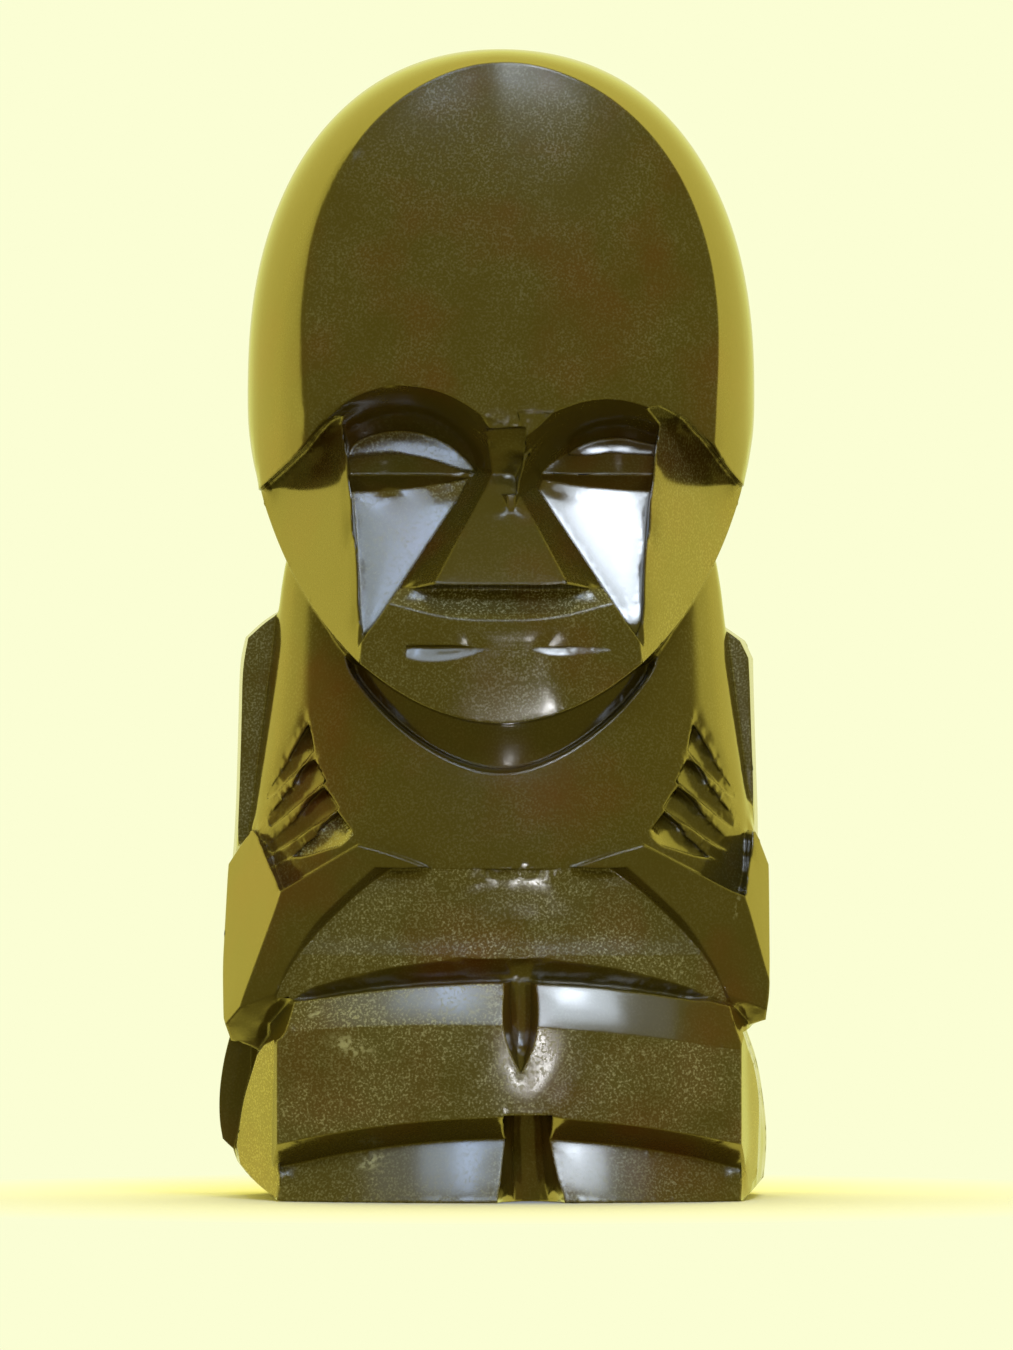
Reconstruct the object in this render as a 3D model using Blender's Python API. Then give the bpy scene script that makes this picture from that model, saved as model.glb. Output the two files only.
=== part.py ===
"""Obsidian statuette: a squatting idol ground with wheels from one block of volcanic glass.

It stands on its flat underside, with its front towards -Y, up +Z, and the origin under the middle
of its head. The blank is a few plain solids joined together, and the carving is what plane, drum
and disc cuts leave of it. Every place and size of the carving is a share of the figure's height.
"""

import math

import bmesh
import bpy
from mathutils import Vector

HEIGHT = 0.130          # sole to crown
DEPTH = 0.041           # flat back to the front of the knees

# One unit is a thousandth of the height. Fronts are counted in units towards the viewer.
UNIT = HEIGHT / 1000
HALF_DEPTH = DEPTH / UNIT / 2
FAR = 600               # beyond the figure in every direction

# Head
HEAD_LEVEL = 706
HEAD_HALF_WIDTH = 221
HEAD_RISE = 294
HEAD_HALF_DEPTH = 190
CROWN_SHAPE = 2.25
CROWN_DEPTH_SHAPE = 3.5
JAW_SHAPE = 1.92
FOREHEAD_FRONT = 148
FOREHEAD_LEVEL = 610
FOREHEAD_BOW = 500              # radius in the top view
FOREHEAD_SHIFT = -20            # how far to the left it is fullest
FOREHEAD_FALL = 2100            # radius in the side view

# Face
BROW_LEVEL = 588
# Each brow's side, then offset and radius of its lower edge and of its ridge.
BROWS = [(-1, 88, 105, 98, 120), (1, 100, 99, 108, 108)]
BROW_EDGE_FRONT = 124
HOLLOW = 26                     # how much narrower a socket is at its floor than at its edge
# Small planes over the nose, as corners (x, level) with the deepest first.
GLABELLA = [[(-17, 683), (-7, 654), (3, 640), (10, 670)], [(43, 683), (25, 650), (11, 685)]]
GLABELLA_FRONT = 137
# The plane under the glabella: its outline, and three points (x, level, front).
BRIDGE = [(-18, 666), (24, 669), (12, 611), (-6, 612)]
BRIDGE_FLOOR = [(0, 658, 126), (50, 658, 126), (0, 600, 85)]
SOCKET_FRONT = 74
SOCKET_SIDE = [(118, 470), (126, 590), (131, 629), (137, 690), (300, 800)]
CHEEK_SLOPE = 0.30
CHEEK_FLARE = 0.10
TEMPLE_EDGE = 128
TEMPLE_FRONT = 118
TEMPLE_SLOPE = 1.5
# The upper edge of each temple, from the silhouette in along the end of the brow.
WINGS = {-1: [(226, 602), (171, 651), (158, 668), (136, 686)],
         1: [(226, 604), (197, 634), (180, 657), (160, 677), (138, 688)]}
EYE_LEVEL = 629
EYE_BULGE = 20
NOSE_ROOT = 642
NOSE_TIP = 533
NOSE_FRONT = 154
NOSE_ROOT_FRONT = 100
NOSE_HALF_WIDTH = 58
MUZZLE_TOP = (3, 660)    # half width and level
NOSTRIL_BOTTOM = 502
NOSTRIL_CUT = 19
LIPS = 146
MUZZLE_RADIUS = 400
MOUTH_LEVEL = 472
MOUTH_CUT = 4
MOUTH_SHIFT = 7
CHIN = 412

# Body
NECK_LEVEL = 581
NECK_HALF_WIDTH = 190
NECK_DROP = 210
NECK_SHAPE = 1.7
NECK_FRONT = 101
NECK_RADIUS = 215
BLANK_BOTTOM = -30      # the blanks reach below the sole, which is sawn last
# Outline of the slab behind the arms and legs, from below the sole up each side.
SLAB_RIGHT = [(196, BLANK_BOTTOM), (214, 0), (223, 8), (230, 17), (232, 42), (232, 62), (229, 88),
              (224, 119), (214, 148), (229, 157), (233, 178), (233, 330), (230, 410), (228, 470),
              (220, 486), (190, 506), (172, 522), (120, 560)]
SLAB_LEFT = [(-170, BLANK_BOTTOM), (-198, 0), (-217, 14), (-231, 31), (-235, 42), (-243, 50),
             (-246, 62), (-246, 92), (-243, 116), (-236, 146), (-243, 154), (-248, 166),
             (-249, 200), (-246, 259), (-241, 340), (-237, 468), (-232, 488), (-214, 504),
             (-182, 522), (-120, 560)]
# Lower arms in the front view, from the elbow's underside up to the chest.
ARM_RIGHT = [(207, 150), (229, 157), (233, 178), (233, 290), (217, 333), (212, 262)]
ARM_LEFT = [(-207, 133), (-234, 138), (-241, 159), (-242, 200), (-238, 290), (-217, 323), (-190, 269)]
ELBOW_SLOPE = 1.8
# Each elbow's side, the top of its planed leaf (x, level, front), slope, tip and underside.
ELBOWS = [(-1, (188, 271, 117), 0.53, (215, 326), (207, 120)),
          (1, (211, 264, 109), 0.39, (216, 338), (213, 120))]
FRAME_FRONT = -12
SLAB_TAPER = 0.95       # how much narrower the slab is in front, beside the arms
CHEST_LOW = (284, 224, 152)     # level, half width, and rise from the frame
CHEST_HIGH = (500, 196, 108)
CHEST_SHAPE = 1.9
BELLY_TOP = 289
BELLY_BOTTOM = 216
BELLY_SIDE = [(205, 140), (189, 176), (176, 204), (152, 240), (99, 289)]
BELLY_STEP = 1.3                # how far the step beside the belly spreads for each unit up it
BELLY_RADIUS = 600
BELLY_FRONT = 146
UNDERCUT_FRONT = 62     # the deepest of the slot between the belly and the lap
# How deep the belly is sunk between the arms at each level, and where that ends on the right.
BELLY_SINK = 11
BELLY_PROFILE = [(-50, 4), (213, 4), (221, 6.5), (231, 9.5), (240, BELLY_SINK), (262, BELLY_SINK),
                 (272, 12), (281, 14.5), (289, 18), (300, 24)]
UNDERCUT = 1.1
LAP_SLOPE = 0.34
LAP_TOP = 189
LAP_ARCH = 900
FOOT_SLOPE = 0.36
KNEE_LEVEL = 153
SHIN_BOTTOM = 74
SHIN_UNDERCUT = 0.75
SHIN_DEPTH = 180        # beyond the block's own depth there
FOOT_TOP = 50
FOOT_FRONT = HALF_DEPTH - 6
LEG_SPREAD = 40         # how much wider the legs are at the back than in front
KNEE_RADIUS = 640
LAP_RADIUS = 560
FOOT_RADIUS = 460
KNEE_HALF_WIDTH = 201
KNEE_SHIFT = 7                  # the legs are turned a little to the right
# Each hip's outline and three points (x, level, front) of its flat face, then the outline and
# three points of the leaf that is planed off above it.
HIPS = [([(-191, BLANK_BOTTOM), (-214, BLANK_BOTTOM), (-219, 15), (-230, 26), (-233, 46),
          (-226, 90), (-213, 131),
          (-191, 166)], [(-188, 144, 128), (-215, 16, 66), (-232, 60, 44)],
         [(-166, 186), (-188, 144), (-214, 131), (-300, 150), (-300, 230), (-166, 230)],
         [(-172, 174, 133), (-188, 144, 128), (-213, 132, 84)]),
        ([(208, BLANK_BOTTOM), (211, BLANK_BOTTOM), (218, 9), (224, 18), (226, 65), (225, 98),
          (219, 128), (208, 150)], [(206, 139, 124), (220, 11, 66), (229, 65, 44)],
         [(186, 173), (206, 138), (229, 104), (300, 120), (300, 230), (186, 230)],
         [(192, 162, 133), (206, 139, 125), (217, 149, 92)])]
HIP_MIDDLE = 60
# Each cleft as levels and half widths, the feet's with its middle too.
KNEE_CLEFT = (17, [(110, 0.6), (116, 3), (124, 6.5), (136, 10.5), (150, 13.5), (164, 15), (260, 16)])
FOOT_CLEFT = [(26, -40, 31), (26, 4, 28), (25, 14, 25), (24, 30, 23), (23, 52, 22), (23, 76, 20)]
CLEFT_DEPTH = 1.7               # how much deeper a cleft is than half its width
FINGER_DEPTH = 19       # at the tips
FINGER_ROOTS = (6, 3)   # at the upper and the lower root
FINGER_RIDGES = (4, 10)         # glass left standing between two cuts, at the tips and the roots
# Each finger's upper edge runs from a tip on the chest to a root at the arm, as (x, level).
FINGER_LINES = [((166, 420), (205, 352)), ((162, 386), (204, 333)), ((152, 361), (201, 311)),
                ((141, 337), (196, 290)), ((124, 309), (186, 283))]


def clear_scene():
    for item in list(bpy.data.objects):
        bpy.data.objects.remove(item, do_unlink=True)


def new_collection(name):
    collection = bpy.data.collections.new(name)
    bpy.context.scene.collection.children.link(collection)
    return collection


def arc(centre, radius, start, end, steps):
    """Points of a circular arc, with its angles in degrees."""
    turns = [math.radians(start + (end - start) * i / steps) for i in range(steps + 1)]
    return [(centre[0] + radius * math.cos(t), centre[1] + radius * math.sin(t)) for t in turns]


def oval(half_width, rise, shape, level, steps, start=0.0):
    """A superellipse round (0, level), from an angle on: shape 2 is an ellipse, more is fuller."""
    points = []
    for i in range(steps):
        turn = start + (math.tau - start) * i / steps
        c, s = math.cos(turn), math.sin(turn)
        x = half_width * math.copysign(abs(c) ** (2 / shape), c)
        z = level + rise * math.copysign(abs(s) ** (2 / shape), s)
        points.append((x, z))
    return points


def mirrored(right_side):
    """A closed outline from its right half, listed along one side."""
    return right_side + [(-x, z) for x, z in reversed(right_side)]


def flip(outline, side):
    return [(side * x, z) for x, z in outline]


def chest_size(z):
    """Half width and rise of the chest's oval section at a level."""
    share = (z - CHEST_LOW[0]) / (CHEST_HIGH[0] - CHEST_LOW[0])
    return [low + (high - low) * share for low, high in zip(CHEST_LOW[1:], CHEST_HIGH[1:])]


def flank(x, z):
    """How far forward the chest stands at a point."""
    half_width, rise = chest_size(z)
    return FRAME_FRONT + rise * (1 - abs(x / half_width) ** CHEST_SHAPE) ** (1 / CHEST_SHAPE)


def plane_through(*points):
    """The flat front through three points (x, z, front), as a function of x and z."""
    a, b, c = [Vector(point) for point in points]
    normal = (b - a).cross(c - a)
    return lambda x, z: a.z - (normal.x * (x - a.x) + normal.y * (z - a.y)) / normal.z


def bow(half_width, radius, front, back, steps=20, shift=0, spread=0):
    """A top view whose front is a wide arc, with a back that may spread wider."""
    turn = math.degrees(math.asin(half_width / radius))
    front_arc = arc((shift, front - radius), radius, 90 - turn, 90 + turn, steps)
    back_half = half_width + spread
    return front_arc + [(shift - back_half, back), (shift + back_half, back)]


class Carver:
    """Makes solids in the figure's units, joins them and cuts them."""

    def __init__(self, tools):
        self.tools = tools

    def store(self, name, work):
        bmesh.ops.recalc_face_normals(work, faces=work.faces)
        bmesh.ops.triangulate(work, faces=work.faces)
        mesh = bpy.data.meshes.new(name)
        work.to_mesh(mesh)
        work.free()
        item = bpy.data.objects.new(name, mesh)
        item.hide_render = True
        item.display_type = "WIRE"
        self.tools.objects.link(item)
        return item

    def extrude(self, name, outline, axis, low, high, shrink=(1, 1), middle=(0, 0), lean=(0, 0),
                other=None):
        """An outline pushed from low to high along Y (front view), X (side view) or Z (top view).

        Along Y both ends are counted to the front, and each may be a function of the point.
        The ends may shrink towards the point called middle, or lean: move along the second axis.
        The high end may have an outline of its own, with as many points.
        """
        work = bmesh.new()
        ends = []
        for shape, level, scale, shift in zip((outline, other or outline), (low, high),
                                              shrink, lean):
            ring = []
            for a, b in shape:
                a = middle[0] + (a - middle[0]) * scale
                b = middle[1] + (b - middle[1]) * scale + shift
                reach = level(a, b) if callable(level) else level
                point = {"Y": (a, -reach, b), "X": (reach, -a, b), "Z": (a, -b, reach)}[axis]
                ring.append(work.verts.new(Vector(point) * UNIT))
            ends.append(work.faces.new(ring))
        edges = [edge for face in ends for edge in face.edges]
        bmesh.ops.bridge_loops(work, edges=edges)
        return self.store(name, work)

    def loft(self, name, sections):
        """A solid through top views at their levels, each with as many points."""
        work = bmesh.new()
        rings = [[work.verts.new(Vector((x, -y, level)) * UNIT) for x, y in outline]
                 for outline, level in sections]
        for below, above in zip(rings, rings[1:]):
            for k in range(len(below)):
                work.faces.new((below[k - 1], below[k], above[k], above[k - 1]))
        work.faces.new(rings[0])
        work.faces.new(rings[-1])
        return self.store(name, work)

    def groove(self, name, stations, front):
        """An upright groove, round inside, through stations of middle, level and half width."""
        sections = []
        for middle, level, half_width in stations:
            ring = oval(half_width, half_width * CLEFT_DEPTH, 2, front, 24)
            sections.append(([(x + middle, depth) for x, depth in ring], level))
        return self.loft(name, sections)

    def cranium(self, name):
        """A round crown on straight temples, which the jaw's outline trims below."""
        work = bmesh.new()
        bmesh.ops.create_uvsphere(work, u_segments=72, v_segments=40, radius=1.0)
        for vert in work.verts:
            x, y, z = vert.co
            flat = math.hypot(x, y)
            rise = min(1.0, max(0.0, z))
            wide, deep = [(1 - rise ** shape) ** (1 / shape) / flat if flat > 1e-6 else 0.0
                          for shape in (CROWN_SHAPE, CROWN_DEPTH_SHAPE)]
            vert.co = Vector((x * wide * HEAD_HALF_WIDTH, y * deep * HEAD_HALF_DEPTH,
                              HEAD_LEVEL + z * (HEAD_RISE if z > 0 else HEAD_RISE + 20))) * UNIT
        return self.store(name, work)

    def apply(self, target, tool, operation):
        step = target.modifiers.new(tool.name, "BOOLEAN")
        step.operation = operation
        step.solver = "EXACT"
        step.object = tool

    def join(self, target, tool):
        self.apply(target, tool, "UNION")

    def cut(self, target, tool):
        self.apply(target, tool, "DIFFERENCE")

    def keep(self, target, tool):
        self.apply(target, tool, "INTERSECT")


def carve_head(carver):
    """Cranium, forehead, brows, sockets and temples, before the face is set in."""
    head = carver.cranium("head")
    side = HEAD_HALF_WIDTH + 1
    jaw = oval(side, HEAD_RISE, JAW_SHAPE, HEAD_LEVEL, 40, start=math.pi)
    jaw += [(side, HEAD_LEVEL), (side, HEAD_LEVEL + FAR), (-side, HEAD_LEVEL + FAR)]
    carver.keep(head, carver.extrude("jaw", jaw, "Y", -FAR, FAR))

    sections = []
    for row in range(17):
        level = 540 + 31 * row
        fall = (level - FOREHEAD_LEVEL) ** 2 / (2 * FOREHEAD_FALL)
        outline = bow(290, FOREHEAD_BOW - fall, FOREHEAD_FRONT - fall, -FAR, 34)
        sections.append(([(x + FOREHEAD_SHIFT, front) for x, front in outline], level))
    sections[0] = (sections[0][0], 300)
    carver.keep(head, carver.loft("forehead", sections))

    for side, offset, radius, ridge_offset, ridge_radius in BROWS:
        def arch(centre, size, side=side):
            ends = [(side * centre - size, 200), (side * centre + size, 200)]
            return arc((side * centre, BROW_LEVEL), size, 0, 180, 30) + ends

        def cheek(x, z, side=side, offset=offset):
            return (SOCKET_FRONT + CHEEK_SLOPE * (NOSE_ROOT - z)
                    - CHEEK_FLARE * (side * x - offset))

        spread = HOLLOW / (BROW_EDGE_FRONT - SOCKET_FRONT)
        mouth = arch(offset, radius + spread * (FAR - BROW_EDGE_FRONT))
        socket = carver.extrude(f"socket_{side}", arch(offset, radius - HOLLOW), "Y", cheek, FAR,
                                other=mouth)
        inner = flip([(-100, 0), (112, 0), *SOCKET_SIDE, (-100, 800)], side)
        carver.keep(socket, carver.extrude(f"inner_{side}", inner, "Y", -FAR, FAR + 10))
        carver.cut(head, socket)
        flare = arch(2 * ridge_offset - offset, 2 * ridge_radius - radius)
        bevel_end = 2 * FOREHEAD_FRONT - BROW_EDGE_FRONT
        carver.cut(head, carver.extrude(f"brow_{side}", arch(offset, radius), "Y",
                                        BROW_EDGE_FRONT, bevel_end, other=flare))
    carver.cut(head, carver.extrude("bridge", BRIDGE, "Y", plane_through(*BRIDGE_FLOOR), FAR))
    for number, corners in enumerate(GLABELLA):
        def brow_plane(x, z, top=corners[0][1]):
            return GLABELLA_FRONT + CHEEK_SLOPE * (top - z)

        carver.cut(head, carver.extrude(f"glabella_{number}", corners, "Y", brow_plane, FAR))
    return head


def make_face(carver):
    """Nose and muzzle in one pyramid, whose profile holds the nostril cut and the mouth."""
    muzzle = mirrored([(112, 350), (122, 480), MUZZLE_TOP])
    face = carver.extrude("muzzle", muzzle, "Y", 0, FAR)
    profile = [(20, 350), (LIPS - 6, 350), (LIPS - 2, CHIN + 6), (LIPS + 1, NOSTRIL_BOTTOM),
               (LIPS - NOSTRIL_CUT, NOSE_TIP - 2), (NOSE_FRONT, NOSE_TIP),
               (NOSE_ROOT_FRONT, NOSE_ROOT), (20, NOSE_ROOT + 6)]
    carver.keep(face, carver.extrude("profile", profile, "X", -300, 300))
    jaw = oval(HEAD_HALF_WIDTH, HEAD_RISE - 1, JAW_SHAPE, HEAD_LEVEL, 64)
    carver.keep(face, carver.extrude("jaw_trim", jaw, "Y", -FAR, FAR))
    carver.cut(face, carver.extrude("lip_bow", bow(160, MUZZLE_RADIUS, LIPS + 2, FAR), "Z", 300,
                                    NOSE_TIP - 1))
    mouth = [(bow(90, MUZZLE_RADIUS, LIPS + 2 - depth, FAR, 21, shift=MOUTH_SHIFT), level)
             for level, depth in ((MOUTH_LEVEL - 5, -1), (MOUTH_LEVEL + 7, MOUTH_CUT),
                                  (MOUTH_LEVEL + 10, -1))]
    carver.cut(face, carver.loft("mouth", mouth))
    for side in (-1, 1):
        nostril = (side * NOSE_HALF_WIDTH, NOSE_TIP, NOSE_FRONT)
        slant = plane_through((0, NOSE_ROOT, NOSE_ROOT_FRONT), nostril, (side * 112, 505, 126))
        wing = flip([(0, NOSE_ROOT + 20), (0, NOSE_ROOT), (NOSE_HALF_WIDTH, NOSE_TIP),
                     (NOSE_HALF_WIDTH, NOSE_TIP - 1.5), (FAR, NOSE_TIP - 1.5),
                     (FAR, NOSE_ROOT + 20)], side)
        carver.cut(face, carver.extrude(f"nose_side_{side}", wing, "Y", slant, FAR * 3))
    return face


def plane_temple(carver, head, side):
    """The flat side of the face, from under the brow's end down to the jaw."""
    def temple_plane(x, z):
        return TEMPLE_FRONT - TEMPLE_SLOPE * (side * x - TEMPLE_EDGE)

    temple = [(60, 300), (FAR, 300), (FAR, 596), *WINGS[side], (118, 684), (60, 650)]
    carver.cut(head, carver.extrude(f"temple_{side}", flip(temple, side), "Y", temple_plane, FAR))


def make_eye(carver, side):
    """A lens-shaped wedge with its ridge level, half sunk in the socket."""
    lens = [(24, EYE_LEVEL), (60, EYE_LEVEL + 14), (96, EYE_LEVEL + 20), (150, EYE_LEVEL + 14),
            (150, EYE_LEVEL - 18), (118, EYE_LEVEL - 20), (75, EYE_LEVEL - 12)]
    eye = carver.extrude(f"eye_{side}", flip(lens, side), "Y", 40, 300)
    front = SOCKET_FRONT + EYE_BULGE
    ridge = [(20, 560), (front - 36, 590), (front, EYE_LEVEL), (front - 24, 665), (20, 700)]
    carver.keep(eye, carver.extrude(f"lid_{side}", ridge, "X", -300, 300))
    return eye


def make_body(carver):
    """A slab with the arms' outline, a round torso, and a bowed belly sunk between the arms."""
    outline = SLAB_RIGHT + SLAB_LEFT[::-1]
    face = [(x * (SLAB_TAPER if z > 150 else 1), z) for x, z in outline]
    body = carver.extrude("slab", outline, "Y", -HALF_DEPTH - 40, FRAME_FRONT, other=face)

    low, high = 236, 560
    sections = [oval(*chest_size(z), CHEST_SHAPE, FRAME_FRONT, 96) for z in (low, high)]
    carver.join(body, carver.extrude("torso", sections[0], "Z", low, high, other=sections[1]))

    belly = carver.extrude("belly", bow(243, BELLY_RADIUS, BELLY_FRONT, -100), "Z", 100, 320)
    chest = [(124, 309), (100, 303), (60, BELLY_TOP), (-60, BELLY_TOP), (-100, 303), (-124, 309)]
    arms = ARM_RIGHT + chest + ARM_LEFT[::-1]
    carver.keep(belly, carver.extrude("arms", arms, "Y", -200, FAR))
    carver.join(body, belly)
    reach = BELLY_FRONT - UNDERCUT_FRONT
    undercut = [(BELLY_FRONT - reach, BELLY_BOTTOM - reach * UNDERCUT),
                (FAR, BELLY_BOTTOM + (FAR - BELLY_FRONT) * UNDERCUT), (FAR, -300),
                (BELLY_FRONT - reach, -300)]
    carver.cut(body, carver.extrude("undercut", undercut, "X", -FAR, FAR))
    sunk = carver.loft("sunk", [(bow(300, BELLY_RADIUS, BELLY_FRONT - sink, FAR), level)
                                for level, sink in BELLY_PROFILE])
    ends = []
    for front in (BELLY_FRONT - 80, BELLY_FRONT + 40):
        floors = [BELLY_FRONT - BELLY_SINK - x ** 2 / (2 * BELLY_RADIUS) for x, z in BELLY_SIDE]
        ends.append(mirrored([(x + BELLY_STEP * (front - floor), z)
                              for (x, z), floor in zip(BELLY_SIDE, floors)]))
    between = carver.extrude("between", ends[0], "Y", BELLY_FRONT - 80, BELLY_FRONT + 40,
                             other=ends[1])
    carver.keep(sunk, between)
    carver.cut(body, sunk)
    carver.join(body, make_legs(carver, outline))
    return body


def make_legs(carver, outline):
    """Lap, knees and undercut shins in one bowed block, then the feet, and the hips at its sides."""
    knees = bow(KNEE_HALF_WIDTH, KNEE_RADIUS, HALF_DEPTH, -100, shift=KNEE_SHIFT,
                spread=LEG_SPREAD)
    legs = carver.extrude("legs", knees, "Z", BLANK_BOTTOM, LAP_TOP + 20)
    deep = HALF_DEPTH - SHIN_DEPTH
    shins = [(deep, SHIN_BOTTOM - SHIN_DEPTH * SHIN_UNDERCUT), (HALF_DEPTH, SHIN_BOTTOM),
             (FAR, SHIN_BOTTOM + (FAR - HALF_DEPTH) * SHIN_UNDERCUT), (FAR, -300)]
    carver.cut(legs, carver.extrude("shins", shins, "X", -FAR, FAR))
    lap = [(bow(250, LAP_RADIUS, HALF_DEPTH - LAP_SLOPE * (level - KNEE_LEVEL), FAR), level)
           for level in (60, 261)]
    carver.cut(legs, carver.loft("lap", lap))
    thighs = arc((0, LAP_TOP - LAP_ARCH), LAP_ARCH, 73, 107, 27)
    carver.keep(legs, carver.extrude("thighs", thighs + [(-250, -50), (250, -50)], "Y", -FAR, FAR))
    knee_cleft = [(KNEE_CLEFT[0], level, width) for level, width in KNEE_CLEFT[1]]
    carver.cut(legs, carver.groove("knee_cleft", knee_cleft, HALF_DEPTH))
    feet = bow(KNEE_HALF_WIDTH, FOOT_RADIUS, FOOT_FRONT, -60, shift=KNEE_SHIFT,
               spread=LEG_SPREAD - 2)
    lean = [-FOOT_SLOPE * level for level in (BLANK_BOTTOM, FOOT_TOP + 20)]
    carver.join(legs, carver.extrude("feet", feet, "Z", BLANK_BOTTOM, FOOT_TOP + 20, lean=lean))
    for hip, face, leaf, plane in HIPS:
        carver.join(legs, carver.extrude("hip", hip, "Y", -100, plane_through(*face),
                                         shrink=(1, 0.93), middle=(hip[0][0], HIP_MIDDLE)))
        carver.cut(legs, carver.extrude("leaf", leaf, "Y", plane_through(*plane), FAR * 3))
    carver.keep(legs, carver.extrude("leg_sides", outline, "Y", -120, 200, shrink=(1, 0.97),
                                     middle=(0, HIP_MIDDLE)))
    return legs


def carve_arms(carver, body):
    """The leaves planed off the elbows, and the finger cuts."""
    for side, (top_x, top_z, top_front), rise, tip, underside in ELBOWS:
        def elbow_plane(x, z, side=side, top_x=top_x, top_z=top_z, top_front=top_front, rise=rise):
            return top_front - ELBOW_SLOPE * (side * x - top_x) + rise * (top_z - z)

        elbow = flip([(top_x, top_z), (150, 200), underside, (FAR, 120), (FAR, 480), tip], side)
        carver.cut(body, carver.extrude(f"elbow_{side}", elbow, "Y", elbow_plane, FAR))
        for (tip, root), (next_tip, next_root) in zip(FINGER_LINES, FINGER_LINES[1:]):
            floor = plane_through((side * tip[0], tip[1], flank(*tip) - FINGER_DEPTH),
                                  (side * root[0], root[1], flank(*root) - FINGER_ROOTS[0]),
                                  (side * next_root[0], next_root[1], flank(*next_root) - FINGER_ROOTS[1]))
            lower = [(next_root[0], next_root[1] + FINGER_RIDGES[1]),
                     (next_tip[0], next_tip[1] + FINGER_RIDGES[0])]
            outline = flip([tip, root] + lower, side)
            name = f"finger_{side}_{tip[1]}"
            carver.cut(body, carver.extrude(name, outline, "Y", floor, FAR))


def carve_clefts(carver, body):
    """The neck groove and the two clefts, between the knees and between the feet."""
    groove = carver.extrude("neck_groove", bow(210, NECK_RADIUS, NECK_FRONT, FAR), "Z", 300, 700)
    neck = oval(NECK_HALF_WIDTH, NECK_DROP, NECK_SHAPE, NECK_LEVEL, 58)
    carver.keep(groove, carver.extrude("neck", neck, "Y", -100, 160, shrink=(0.8, 1.04),
                                       middle=(0, NECK_LEVEL)))
    carver.cut(body, groove)
    carver.cut(body, carver.groove("foot_cleft", FOOT_CLEFT, HALF_DEPTH - 8))


def carve_back(carver, body):
    """The flat back and sole that it was sawn to, and the planed rims along both its sides."""
    behind = [(-FAR, -100), (-HALF_DEPTH, -100), (-HALF_DEPTH, 1100), (-FAR, 1100)]
    carver.cut(body, carver.extrude("back", behind, "X", -FAR, FAR))
    below = [(-FAR, -100), (FAR, -100), (FAR, 0), (-FAR, 0)]
    carver.cut(body, carver.extrude("sole", below, "X", -FAR - 1, FAR + 1))
    for side in (-1, 1):
        rim = flip([(172, -HALF_DEPTH - 1), (250, -48), (FAR, -48), (FAR, -FAR), (172, -FAR)], side)
        carver.cut(body, carver.extrude(f"rim_{side}", rim, "Z", -50, 700))


def obsidian(item):
    material = bpy.data.materials.new("obsidian")
    material.use_nodes = True
    shader = material.node_tree.nodes["Principled BSDF"]
    shader.inputs["Base Color"].default_value = (0.012, 0.011, 0.008, 1)
    shader.inputs["Roughness"].default_value = 0.12
    shader.inputs["Metallic"].default_value = 0.0
    item.data.materials.append(material)


def build():
    clear_scene()
    parts = new_collection("obsidian_statuette_parts")
    carver = Carver(new_collection("carving_tools"))
    body = make_body(carver)
    carve_arms(carver, body)
    carve_clefts(carver, body)
    head = carve_head(carver)
    carver.join(head, make_face(carver))
    for side in (-1, 1):
        carver.join(head, make_eye(carver, side))
        plane_temple(carver, head, side)
    carver.join(body, head)
    carve_back(carver, body)
    body.name = "obsidian_statuette"
    carver.tools.objects.unlink(body)
    parts.objects.link(body)
    body.hide_render = False
    body.display_type = "TEXTURED"
    obsidian(body)


build()
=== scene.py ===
"""Obsidian statuette: a squatting idol, ground and polished from one block of volcanic glass."""

import math

import bmesh
import bpy
import numpy as np
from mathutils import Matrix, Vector, noise
from mathutils.bvhtree import BVHTree
from mathutils.kdtree import KDTree


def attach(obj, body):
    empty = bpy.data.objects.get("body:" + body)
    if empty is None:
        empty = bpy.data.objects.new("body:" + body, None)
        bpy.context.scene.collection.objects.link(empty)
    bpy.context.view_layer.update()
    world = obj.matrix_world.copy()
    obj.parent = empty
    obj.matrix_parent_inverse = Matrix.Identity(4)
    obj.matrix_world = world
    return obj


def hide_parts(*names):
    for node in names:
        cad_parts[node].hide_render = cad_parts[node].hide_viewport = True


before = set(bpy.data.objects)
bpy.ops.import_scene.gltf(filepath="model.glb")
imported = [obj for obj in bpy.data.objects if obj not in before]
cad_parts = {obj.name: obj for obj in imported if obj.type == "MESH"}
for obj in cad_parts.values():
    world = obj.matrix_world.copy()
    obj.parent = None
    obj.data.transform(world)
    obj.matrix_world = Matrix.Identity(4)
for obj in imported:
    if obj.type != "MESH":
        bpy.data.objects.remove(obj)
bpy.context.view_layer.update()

# The carved figure
#
# One block of obsidian, sawn flat behind, ground with plane, drum and disc wheels and polished by
# hand: crisp arrises between its planes, and planes that are never quite true.

GRAIN = 0.00058            # spacing of the worked surface's points
ARRIS = math.radians(15)   # planes that meet at more than this keep an arris between them
ARRIS_STEP = GRAIN / 8     # spacing of the places noted along the arrises
ON_ARRIS = GRAIN / 4       # a point this near is put on the arris at once
NEAR_ARRIS = GRAIN * 1.2   # a point of an edge across the arris is put on it from this near
EVENING_ROUNDS = 3         # how often the other points are spread evenly again
BLEND_ROUNDS = 160         # how far one cut's flats run into each other
FITTING_ROUNDS = 14        # how often the points are drawn to their faces' planes

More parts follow.
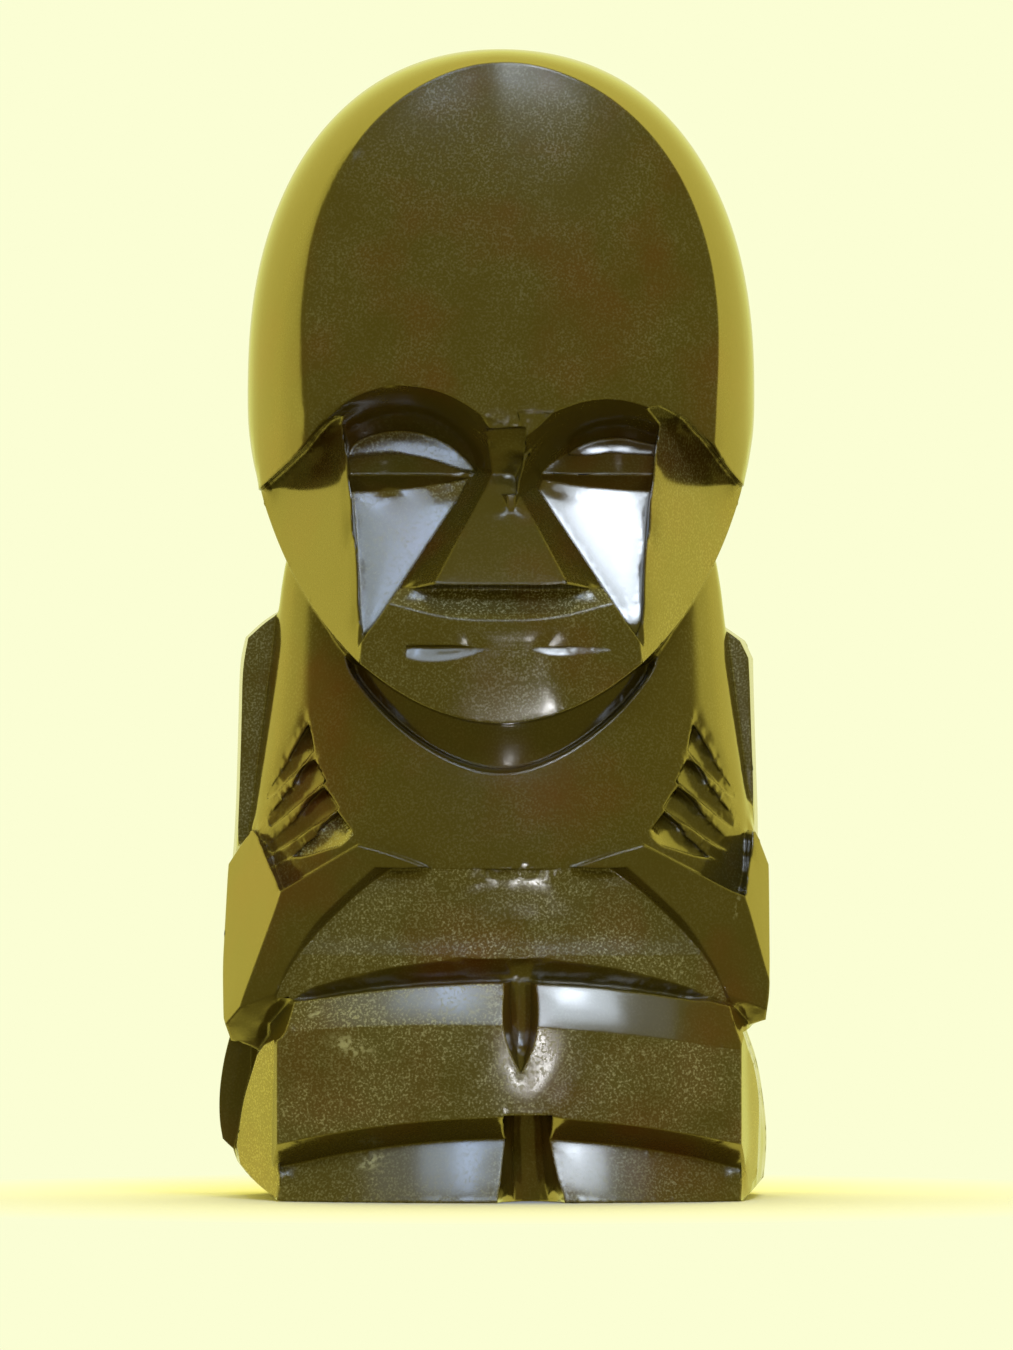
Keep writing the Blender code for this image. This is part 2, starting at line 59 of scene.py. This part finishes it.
# Hand polish wears the forehead's left and top arris soft, between these levels.
SOFT_ROUNDS = 30           # how far the forehead runs over that arris
SOFT_BOTTOM = 0.080
SOFT_TOP = 0.118
SOFT_SIDE = -0.012         # and left of here
SOFT_LEVEL = 0.4           # cosine of the sharpest fold that it softens
WEAR = 0.00006             # how far polish has lowered a plane beside its arris
WEAR_REACH = 0.0016        # how far in from the arris that fades
WEAR_TOP = 0.116           # the crown above here keeps its shape
WEAR_FADE = 0.008
WAVER = 0.000020           # how far hand polish leaves a plane out of true
WAVER_LENGTH = 0.011


def joined_copy(node):
    """A copy of a node's mesh with its loose triangles joined."""
    copy = bmesh.new()
    copy.from_mesh(node.data)
    bmesh.ops.remove_doubles(copy, verts=copy.verts, dist=1e-6)
    copy.faces.ensure_lookup_table()
    return copy


def even_grid(shape, spacing):
    """The same closed form as a bmesh with points at an even spacing."""
    mesh = bpy.data.meshes.new("block")
    shape.to_mesh(mesh)
    holder = bpy.data.objects.new("block", mesh)
    bpy.context.collection.objects.link(holder)
    remesh = holder.modifiers.new("grid", "REMESH")
    remesh.mode = "VOXEL"
    remesh.voxel_size = spacing
    graph = bpy.context.evaluated_depsgraph_get()
    grid = bmesh.new()
    grid.from_mesh(bpy.data.meshes.new_from_object(holder.evaluated_get(graph)))
    bmesh.ops.triangulate(grid, faces=grid.faces)
    grid.faces.ensure_lookup_table()
    bpy.data.objects.remove(holder)
    return grid


def cuts_of(shape, angle):
    """Which cut each face belongs to, and points along the arrises between the cuts."""
    cut = [-1] * len(shape.faces)
    for seed in shape.faces:
        if cut[seed.index] >= 0:
            continue
        cut[seed.index] = seed.index
        front = [seed]
        while front:
            for edge in front.pop().edges:
                for face in edge.link_faces:
                    if cut[face.index] < 0 and edge.calc_face_angle(0) < angle:
                        cut[face.index] = seed.index
                        front.append(face)
    places = []
    for edge in shape.edges:
        if edge.calc_face_angle(0) >= angle:
            low, high = (vert.co for vert in edge.verts)
            count = max(1, math.ceil(edge.calc_length() / ARRIS_STEP))
            places += [low.lerp(high, k / count) for k in range(count + 1)]
    lines = KDTree(len(places))
    for index, place in enumerate(places):
        lines.insert(place, index)
    lines.balance()
    return np.array(cut), lines


def nearest(tree, points):
    """The nearest places on the block, and the face that each is on."""
    found = [tree.find_nearest(point) for point in points.tolist()]
    return np.array([f[0] for f in found]), np.array([f[2] for f in found])


def per_point(values, corners, count):
    """Sums values of the faces' corners over the points that they share."""
    return np.stack([np.bincount(corners, values[:, k], count) for k in range(3)], axis=1)


def unit(vectors):
    """The same directions, each vector one long."""
    return vectors / np.linalg.norm(vectors, axis=1, keepdims=True)


def fit_to_cuts(grid, shape):
    """Fits the even grid to the block: points beside an arris go onto it, and the flats that a
    curved cut is made of run into each other. Returns the cut that each face belongs to."""
    cut, lines = cuts_of(shape, ARRIS)
    tree = BVHTree.FromBMesh(shape)
    flats = np.array([face.normal for face in shape.faces])
    points = np.array([vert.co for vert in grid.verts])
    faces = np.array([[vert.index for vert in face.verts] for face in grid.faces])
    edges = np.array([[vert.index for vert in edge.verts] for edge in grid.edges])
    count = len(points)

    # The two points of an edge across an arris: the closer one moves onto it.
    points, home = nearest(tree, points)
    arris = [lines.find(point) for point in points.tolist()]
    away = np.array([a[2] for a in arris])
    held = away < ON_ARRIS
    across = edges[cut[home[edges[:, 0]]] != cut[home[edges[:, 1]]]]
    across = across[~held[across].any(axis=1)]
    closer = np.where(away[across[:, 0]] < away[across[:, 1]], across[:, 0], across[:, 1])
    closer = closer[away[closer] < NEAR_ARRIS]
    held[closer] = True
    points[held] = np.array([a[0] for a in arris])[held]

    # The other points are spread evenly over the block again.
    neighbours = np.bincount(edges.ravel(), minlength=count)[:, None]
    for _ in range(EVENING_ROUNDS):
        total = per_point(points[edges[:, ::-1]].reshape(-1, 3), edges.ravel(), count)
        free = (points + total / neighbours) / 2
        points[~held] = nearest(tree, free[~held])[0]

    # Each face looks the way its flat does, evened out over the flats of its own cut.
    home = nearest(tree, points[faces].mean(axis=1))[1]
    kind = cut[home]
    toward = flats[home]
    pairs = np.array([[face.index for face in edge.link_faces] for edge in grid.edges])
    place = points[faces].mean(axis=1)[pairs[:, 0]]
    level = (toward[pairs[:, 0]] * toward[pairs[:, 1]]).sum(axis=1)
    worn = (place[:, 2] > SOFT_BOTTOM) & (place[:, 2] < SOFT_TOP)
    worn &= (place[:, 0] < SOFT_SIDE) & (level > SOFT_LEVEL)
    same = kind[pairs[:, 0]] == kind[pairs[:, 1]]
    for rounds, linked in ((BLEND_ROUNDS, same), (SOFT_ROUNDS, same | worn)):
        run = pairs[linked]
        for _ in range(rounds):
            total = per_point(toward[run[:, ::-1]].reshape(-1, 3), run.ravel(), len(toward))
            toward = unit(toward + total / 2)
    seams = edges[~(same | worn)]
    ends = seams.ravel()
    running = np.bincount(ends, minlength=count) == 2

    # The points are drawn to planes that look those ways, and the arrises pulled straight.
    corners = faces.ravel()
    shared = np.bincount(corners, minlength=count)[:, None]
    for _ in range(FITTING_ROUNDS):
        reach = points[faces].mean(axis=1)[:, None, :] - points[faces]
        step = (reach * toward[:, None, :]).sum(axis=2, keepdims=True) * toward[:, None, :]
        points = points + per_point(step.reshape(-1, 3), corners, count) / shared
        beside = per_point(points[seams[:, ::-1]].reshape(-1, 3), ends, count) / 2
        points[running] = (points[running] + beside[running]) / 2
    for vert, point in zip(grid.verts, points):
        vert.co = point

    # Polish has lowered the planes beside their arrises.
    grid.normal_update()
    for vert in grid.verts:
        below = min(1, max(0, (WEAR_TOP - vert.co.z) / WEAR_FADE))
        vert.co -= vert.normal * WEAR * below * math.exp(-lines.find(vert.co)[2] / WEAR_REACH)
    for edge, smooth in zip(grid.edges, same | worn):
        edge.smooth = bool(smooth)
    return kind


shape = joined_copy(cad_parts["obsidian_statuette"])
work = even_grid(shape, GRAIN)
kind = fit_to_cuts(work, shape)

# How dusty each cut is: x and z in millimetres of a point of it seen from the front, and how much.
DUST = [(0, 100, 0.16), (-14.5, 75.5, 0.5), (16.5, 77, 0.35), (0, 67.5, 0.6), (-17, 41.5, 1.0),
        (14, 41, 0.7), (-14, 27.5, 0.45), (-22, 22, 0.9), (21, 26, 0.6), (-6, 17, 0.55),
        (8, 17, 0.6), (-6, 3, 0.4), (10, 3, 0.4), (-27.5, 12, 0.8), (29, 9, 0.5), (0, 32, 0.5),
        (-28.6, 50, 0.5), (28.2, 50, 0.6), (0, 58, 0.25), (0, 44, 0.12)]
CLEAN = 0.08               # the dust on all other cuts
block = BVHTree.FromBMesh(shape)
cut = cuts_of(shape, ARRIS)[0]
amount = {}
for x, z, dust in DUST:
    face = block.ray_cast(Vector((x / 1000, -1, z / 1000)), Vector((0, 1, 0)))[2]
    amount[int(cut[face])] = dust
layer = work.faces.layers.float.new("dust")
for face in work.faces:
    face[layer] = amount.get(int(kind[face.index]), CLEAN)

work.normal_update()
for vert in work.verts:
    vert.co += vert.normal * WAVER * noise.noise(vert.co / WAVER_LENGTH)
bmesh.ops.recalc_face_normals(work, faces=work.faces)
carving = bpy.data.meshes.new("statuette_carving")
work.to_mesh(carving)
work.free()
shape.free()
statuette = bpy.data.objects.new("statuette_carving", carving)
bpy.context.collection.objects.link(statuette)
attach(statuette, "root")
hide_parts("obsidian_statuette")


def linear(code):
    """An sRGB hex colour as linear red, green, blue and alpha."""
    parts = [int(code[k:k + 2], 16) / 255 for k in (1, 3, 5)]
    return [p / 12.92 if p < 0.04045 else ((p + 0.055) / 1.055) ** 2.4 for p in parts] + [1]


def add(tree, kind, settings=(), links=()):
    """Adds a node, with its settings and socket values, and links that come into it."""
    node = tree.nodes.new(kind)
    for name, value in dict(settings).items():
        if isinstance(name, int) or name in node.inputs:
            node.inputs[name].default_value = value
        else:
            setattr(node, name, value)
    for socket, source in dict(links).items():
        tree.links.new(source, node.inputs[socket])
    return node


# Obsidian: volcanic glass, nearly black with an olive-brown depth and clouds of redder brown,
# polished to a mirror that skin dust, scuffs and the chatter of the wheels dull in places.
obsidian = bpy.data.materials.new("polished_obsidian")
obsidian.use_nodes = True
tree = obsidian.node_tree
surface = tree.nodes["Principled BSDF"]
where = add(tree, "ShaderNodeTexCoord").outputs["Object"]


def patches(spacing, low, high, detail):
    """Noise in metres from patch to patch, stretched so that low gives 0 and high gives 1."""
    cloud = add(tree, "ShaderNodeTexNoise", {"Scale": 1 / spacing, "Detail": detail},
                {"Vector": where})
    return add(tree, "ShaderNodeMapRange", {"From Min": low, "From Max": high},
               {"Value": cloud.outputs[0]}).outputs[0]


def together(operation, values):
    """Chains one arithmetic operation through some values, each step kept from 0 to 1."""
    result = values[0]
    for value in values[1:]:
        result = add(tree, "ShaderNodeMath", {"operation": operation, "use_clamp": True},
                     {0: result, 1: value}).outputs[0]
    return result


def nearness(middle, size, turn, edge, core):
    """How near a place is to a middle, from 0 at one share of an oval's size to 1 at another."""
    local = add(tree, "ShaderNodeMapping",
                {"vector_type": "TEXTURE", "Location": middle,
                 "Rotation": (0, math.radians(turn), 0), "Scale": size}, {"Vector": where})
    reach = add(tree, "ShaderNodeVectorMath", {"operation": "LENGTH"}, {0: local.outputs[0]})
    return add(tree, "ShaderNodeMapRange", {"From Min": edge, "From Max": core},
               {"Value": reach.outputs["Value"]}).outputs[0]


# Scuffs in millimetres: x and z of the middle, half width, half height, turn in degrees.
SCUFFS = [(-16.8, 17.6, 3.2, 1.6, 12), (-14.5, 4.6, 2.6, 1.0, -30), (-20.8, 21.2, 1.2, 0.5, -20),
          (-18.4, 40.8, 1.0, 0.4, -20), (26.6, 33.2, 0.5, 1.7, 15)]
SCUFF_FRONT = -0.018       # they are all near here, and end within this of it
SCUFF_REACH = 0.008
spots = [nearness((x / 1000, SCUFF_FRONT, z / 1000), (wide / 1000, SCUFF_REACH, high / 1000),
                  turn, 1.1, 0.2) for x, z, wide, high, turn in SCUFFS]
scuffed = together("MULTIPLY", [together("MAXIMUM", spots), patches(0.0007, 0.42, 0.62, 4.0)])

# Dust: specks that lie in drifts, over a thin film, as much as each cut has. The specks are finer
# than a tenth of a millimetre, and are drawn a quarter of one apart.
settled = add(tree, "ShaderNodeAttribute", {"attribute_name": "dust"}).outputs["Fac"]
specks = patches(0.00026, 0.47, 0.72, 1.0)
drifts = patches(0.006, 0.15, 0.75, 4.0)
dust = together("MULTIPLY", [specks, drifts, settled])
film = add(tree, "ShaderNodeMapRange", {"To Max": 0.16},
           {"Value": together("MULTIPLY", [drifts, settled])}).outputs[0]
dulled = together("MAXIMUM", [together("ADD", [dust, film]), scuffed])

clouds = patches(0.014, 0.50, 0.74, 3.0)
glass = add(tree, "ShaderNodeMix",
            {"data_type": "RGBA", 6: linear("#352E0A"), 7: linear("#402609")},
            {0: clouds}).outputs[2]
skin = add(tree, "ShaderNodeMix", {"data_type": "RGBA", 7: linear("#8A8A6A")},
           {0: dulled, 6: glass}).outputs[2]
tree.links.new(skin, surface.inputs["Base Color"])
polish = add(tree, "ShaderNodeMapRange", {"To Min": 0.12, "To Max": 0.55}, {"Value": dulled})
tree.links.new(polish.outputs[0], surface.inputs["Roughness"])
surface.inputs["IOR"].default_value = 1.5

# The disc wheel left rings of chatter on the lap beside the cleft. They are finer than a tenth of a
# millimetre, and are drawn half a millimetre apart. A Wave Texture's Scale counts 20 rings a unit.
CHATTER = 0.0005
turned = add(tree, "ShaderNodeMapping", {"vector_type": "POINT", "Location": (0.020, 0, -0.030)},
             {"Vector": where})
chatter = add(tree, "ShaderNodeTexWave",
              {"wave_type": "RINGS", "rings_direction": "Y", "Scale": 1 / CHATTER / 20,
               "Distortion": 1.5, "Detail Scale": 0.5}, {"Vector": turned.outputs[0]})
cleft = nearness((0.003, -0.02, 0.0145), (0.011, 0.02, 0.006), 0, 1.0, 0.3)
ripple = together("MULTIPLY", [chatter.outputs["Fac"], cleft])
arris = add(tree, "ShaderNodeBevel", {"samples": 6, "Radius": 0.00045})
grooves = add(tree, "ShaderNodeBump", {"Strength": 0.6, "Distance": 0.00002},
              {"Height": ripple, "Normal": arris.outputs[0]})
tree.links.new(grooves.outputs[0], surface.inputs["Normal"])
carving.materials.append(obsidian)

# The floor
#
# A wide sheet of pale paper that the figure stands on, seen only as plain ground.
FLOOR_REACH = 3.0
PAPER = "#FBFED4"
ground = bmesh.new()
bmesh.ops.create_circle(ground, cap_ends=True, radius=FLOOR_REACH, segments=96)
paper_mesh = bpy.data.meshes.new("floor")
ground.to_mesh(paper_mesh)
ground.free()
floor = bpy.data.objects.new("floor", paper_mesh)
bpy.context.collection.objects.link(floor)
paper = bpy.data.materials.new("pale_paper")
paper.use_nodes = True
tree = paper.node_tree
sheet = tree.nodes["Principled BSDF"]
sheet.inputs["Base Color"].default_value = linear("#B6BAC6")
sheet.inputs["Roughness"].default_value = 0.95
away = add(tree, "ShaderNodeVectorMath", {"operation": "LENGTH"},
           {0: add(tree, "ShaderNodeTexCoord").outputs["Object"]})
fade = add(tree, "ShaderNodeMapRange", {"From Min": 0.030, "From Max": 0.085},
           {"Value": away.outputs["Value"]})
glow = add(tree, "ShaderNodeEmission", {"Color": linear(PAPER)})
blend = add(tree, "ShaderNodeMixShader",
            links={0: fade.outputs[0], 1: sheet.outputs[0], 2: glow.outputs[0]})
tree.links.new(blend.outputs[0], tree.nodes["Material Output"].inputs["Surface"])
paper_mesh.materials.append(paper)
floor.visible_glossy = False
floor.visible_diffuse = False

# The studio
#
# A pale yellow room behind the figure and a dark one before it. High in front is a cool softbox
# with a brighter bulb, a weaker wing beside it with its own, and their spill. Low down in front is
# a small flash.
scene = bpy.context.scene
scene.view_settings.view_transform = "Standard"
studio = bpy.data.worlds.new("studio")
studio.use_nodes = True
scene.world = studio
tree = studio.node_tree
tree.nodes.clear()
toward = add(tree, "ShaderNodeSeparateXYZ",
             links={0: add(tree, "ShaderNodeTexCoord").outputs["Generated"]})
depth = add(tree, "ShaderNodeMapRange", {"From Min": -1.0}, {"Value": toward.outputs["Y"]})
room = add(tree, "ShaderNodeValToRGB", links={"Fac": depth.outputs["Result"]})
tones = [(0.44, "#685E22"), (0.50, "#F7E65C"), (0.70, "#F0DF5C"), (0.885, "#B5AA4B"),
         (0.97, "#9B9B52"), (1.0, "#828260")]
for stop, (place, code) in zip(room.color_ramp.elements, tones):
    stop.position, stop.color = place, linear(code)
for place, code in tones[2:]:
    room.color_ramp.elements.new(place).color = linear(code)
unseen = add(tree, "ShaderNodeBackground", {"Strength": 4.5}, {"Color": room.outputs["Color"]})
seen = add(tree, "ShaderNodeBackground", {"Color": linear(PAPER), "Strength": 1.0})
choice = add(tree, "ShaderNodeMixShader",
             links={0: add(tree, "ShaderNodeLightPath").outputs["Is Camera Ray"],
                    1: unseen.outputs[0], 2: seen.outputs[0]})
add(tree, "ShaderNodeOutputWorld", links={"Surface": choice.outputs[0]})


def lamp(name, place, aim, width, height, colour, watts):
    """A soft rectangular light at a place, turned to face a point."""
    data = bpy.data.lights.new(name, "AREA")
    data.shape = "RECTANGLE"
    data.size = width
    data.size_y = height
    data.color = linear(colour)[:3]
    data.energy = watts
    holder = bpy.data.objects.new(name, data)
    holder.location = place
    holder.rotation_euler = (Vector(aim) - Vector(place)).to_track_quat("-Z", "Y").to_euler()
    bpy.context.collection.objects.link(holder)
    return holder


MIDDLE = (0, 0, 0.065)
lamp("softbox", (0.105, -0.41, 0.37), MIDDLE, 0.16, 0.15, "#D8E6F4", 1.15)
lamp("softbox_bulb", (0.110, -0.41, 0.362), MIDDLE, 0.05, 0.05, "#E6F0FF", 0.24)
lamp("softbox_wing", (-0.085, -0.41, 0.37), MIDDLE, 0.17, 0.15, "#C4DAF4", 0.45)
lamp("softbox_wing_bulb", (-0.072, -0.41, 0.355), MIDDLE, 0.05, 0.10, "#B8D2FF", 0.17)
lamp("softbox_spill", (0, -0.42, 0.38), MIDDLE, 0.62, 0.17, "#C4DAF4", 0.45)
flash = lamp("flash", (0.021, -0.28, 0.02), (0.002, -0.02, 0.03), 0.012, 0.012, "#FFFFFF", 0.05)
flash.visible_camera = False

# The camera
#
# Straight in front of the standing figure, as the photograph looks straight down on the lying one.
DISTANCE = 1.7
HALF_FRAME = 0.0765
camera = bpy.data.cameras.new("camera")
camera.sensor_width = 36
camera.lens = camera.sensor_width / 2 * DISTANCE / HALF_FRAME
camera.clip_start = 0.01
camera.clip_end = 20
viewer = bpy.data.objects.new("camera", camera)
viewer.location = (0.00062, -DISTANCE, 0.0592)
viewer.rotation_euler = (math.pi / 2, 0, 0)
bpy.context.collection.objects.link(viewer)
scene.camera = viewer
